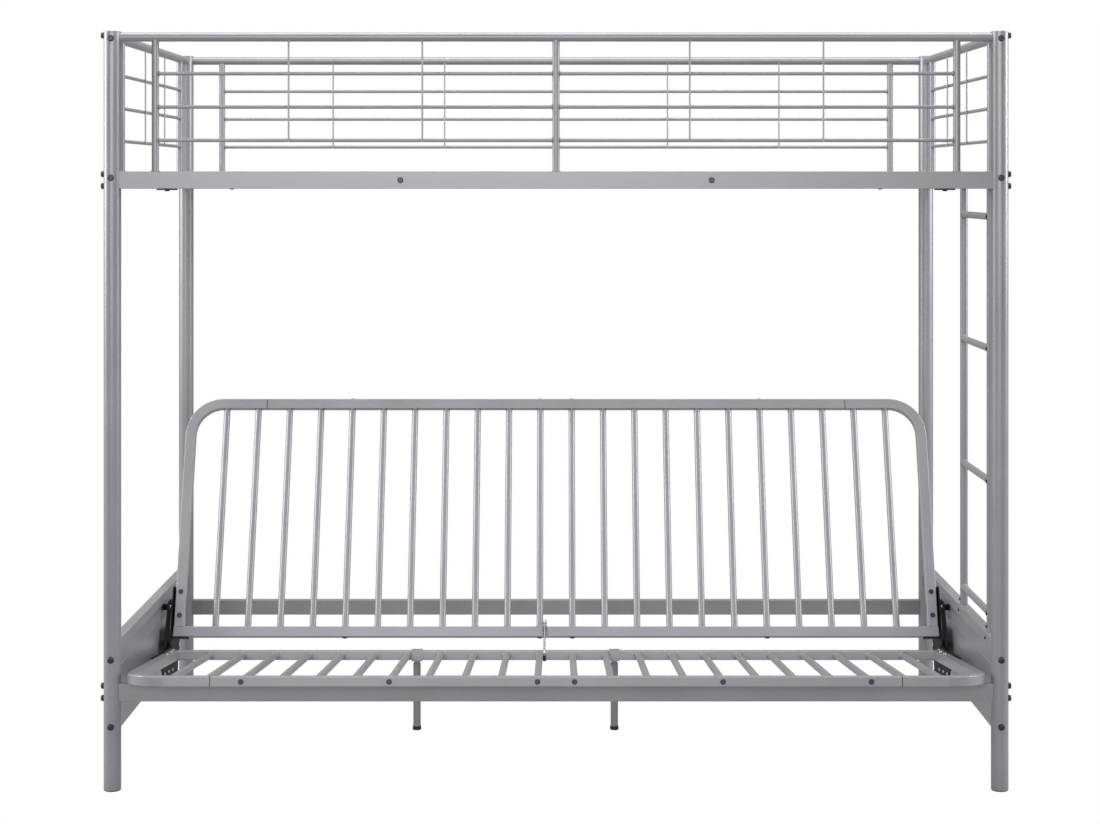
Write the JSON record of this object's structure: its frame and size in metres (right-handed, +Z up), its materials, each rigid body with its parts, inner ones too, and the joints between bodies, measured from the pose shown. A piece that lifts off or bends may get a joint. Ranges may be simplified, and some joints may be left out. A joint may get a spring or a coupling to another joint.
{
  "type": "sofa to bunk bed",
  "caption": "Tubular steel bunk bed with a guarded upper deck and end ladder over a slatted sofa seat and backrest that fold down flat into a lower bed.",
  "frame": {"origin": "on the floor, in the middle of the whole bed with its bolt heads", "axes": "+X along the bed towards the ladder end, +Y from the open front of the sofa to the back, +Z up"},
  "size_m": [1.9914, 1.0666, 1.6608],
  "materials": {
    "silver_steel": "silver-grey powder coat, semi-gloss",
    "black_steel": "black powder coat, satin",
    "dark_bolts": "black oxide, satin",
    "zinc_steel": "bright zinc plate",
    "grey_plastic": "moulded grey plastic, satin",
    "black_plastic": "moulded black plastic, matt"
  },
  "bodies": {
    "frame": {"base_brackets": "black_steel", "bracket_bolts": "zinc_steel", "deck_beam_bolts": "dark_bolts", "deck_beams": "silver_steel", "deck_clips": "black_plastic", "deck_ledges": "silver_steel", "deck_slats": "silver_steel", "end_bolts": "dark_bolts", "end_guard_rods": "silver_steel", "end_guard_top_rails": "silver_steel", "end_guard_uprights": "silver_steel", "end_guard_wires": "silver_steel", "end_upper_rails": "silver_steel", "front_lower_side_rail": "silver_steel", "front_upper_side_rail": "silver_steel", "guard_rods": "silver_steel", "guard_top_rails": "silver_steel", "guard_uprights": "silver_steel", "guard_wires": "silver_steel", "ladder_rungs": "silver_steel", "ladder_screws": "dark_bolts", "ladder_uprights": "silver_steel", "left_side_panel": "silver_steel", "link_pins": "zinc_steel", "post_caps": "grey_plastic", "post_feet": "grey_plastic", "post_front_left": "silver_steel", "post_front_right": "silver_steel", "post_rear_left": "silver_steel", "post_rear_right": "silver_steel", "rail_bolts": "dark_bolts", "rear_lower_side_rail": "silver_steel", "rear_upper_side_rail": "silver_steel", "right_side_panel": "silver_steel", "side_panel_rails": "silver_steel", "threaded_inserts": "zinc_steel"},
    "seat": {"seat_arm_fixings": "zinc_steel", "seat_arms": "black_steel", "seat_bolts": "dark_bolts", "seat_corners": "silver_steel", "seat_front_rail": "silver_steel", "seat_joiners": "dark_bolts", "seat_leg_brackets": "silver_steel", "seat_leg_feet": "black_plastic", "seat_legs": "silver_steel", "seat_rear_rail": "silver_steel", "seat_slats": "silver_steel"},
    "back": {"back_arms": "black_steel", "back_bolts": "dark_bolts", "back_bottom_rail": "silver_steel", "back_corners": "silver_steel", "back_joiners": "dark_bolts", "back_slats": "silver_steel", "back_top_rail": "silver_steel", "hinge_pins": "zinc_steel", "hook_ears": "silver_steel"},
    "left_link": {"left_link": "black_steel"},
    "right_link": {"right_link": "black_steel"},
    "hook": {"safety_hook": "zinc_steel", "hook_tip": "black_plastic"}
  },
  "joints": [
    {"name": "seat_tilt", "type": "hinge", "parent": "frame", "child": "seat", "pos_m": [0, -0.43104, 0.234], "axis": [1, 0, 0], "range_deg": [0, 6.9]},
    {"name": "back_fold", "type": "hinge", "parent": "seat", "child": "back", "pos_m": [0, 0.11961, 0.18126], "axis": [-1, 0, 0], "range_deg": [0, 76.2]},
    {"name": "left_link_swing", "type": "hinge", "parent": "frame", "child": "left_link", "pos_m": [-0.9451, 0.26695, 0.20938], "axis": [-1, 0, 0], "range_deg": [0, 25.64]},
    {"name": "right_link_swing", "type": "hinge", "parent": "frame", "child": "right_link", "pos_m": [0.9451, 0.26695, 0.20938], "axis": [-1, 0, 0], "range_deg": [0, 25.64]},
    {"name": "hook_swing", "type": "hinge", "parent": "back", "child": "hook", "pos_m": [-0.028, 0.12774, 0.25228], "axis": [-1, 0, 0], "range_deg": [0, 100]}
  ],
  "couplings": [
    {"joint": "seat_tilt", "follows": "back_fold", "ratio": 0.09055},
    {"joint": "left_link_swing", "follows": "back_fold", "ratio": 0.33653},
    {"joint": "right_link_swing", "follows": "back_fold", "ratio": 0.33653}
  ]
}
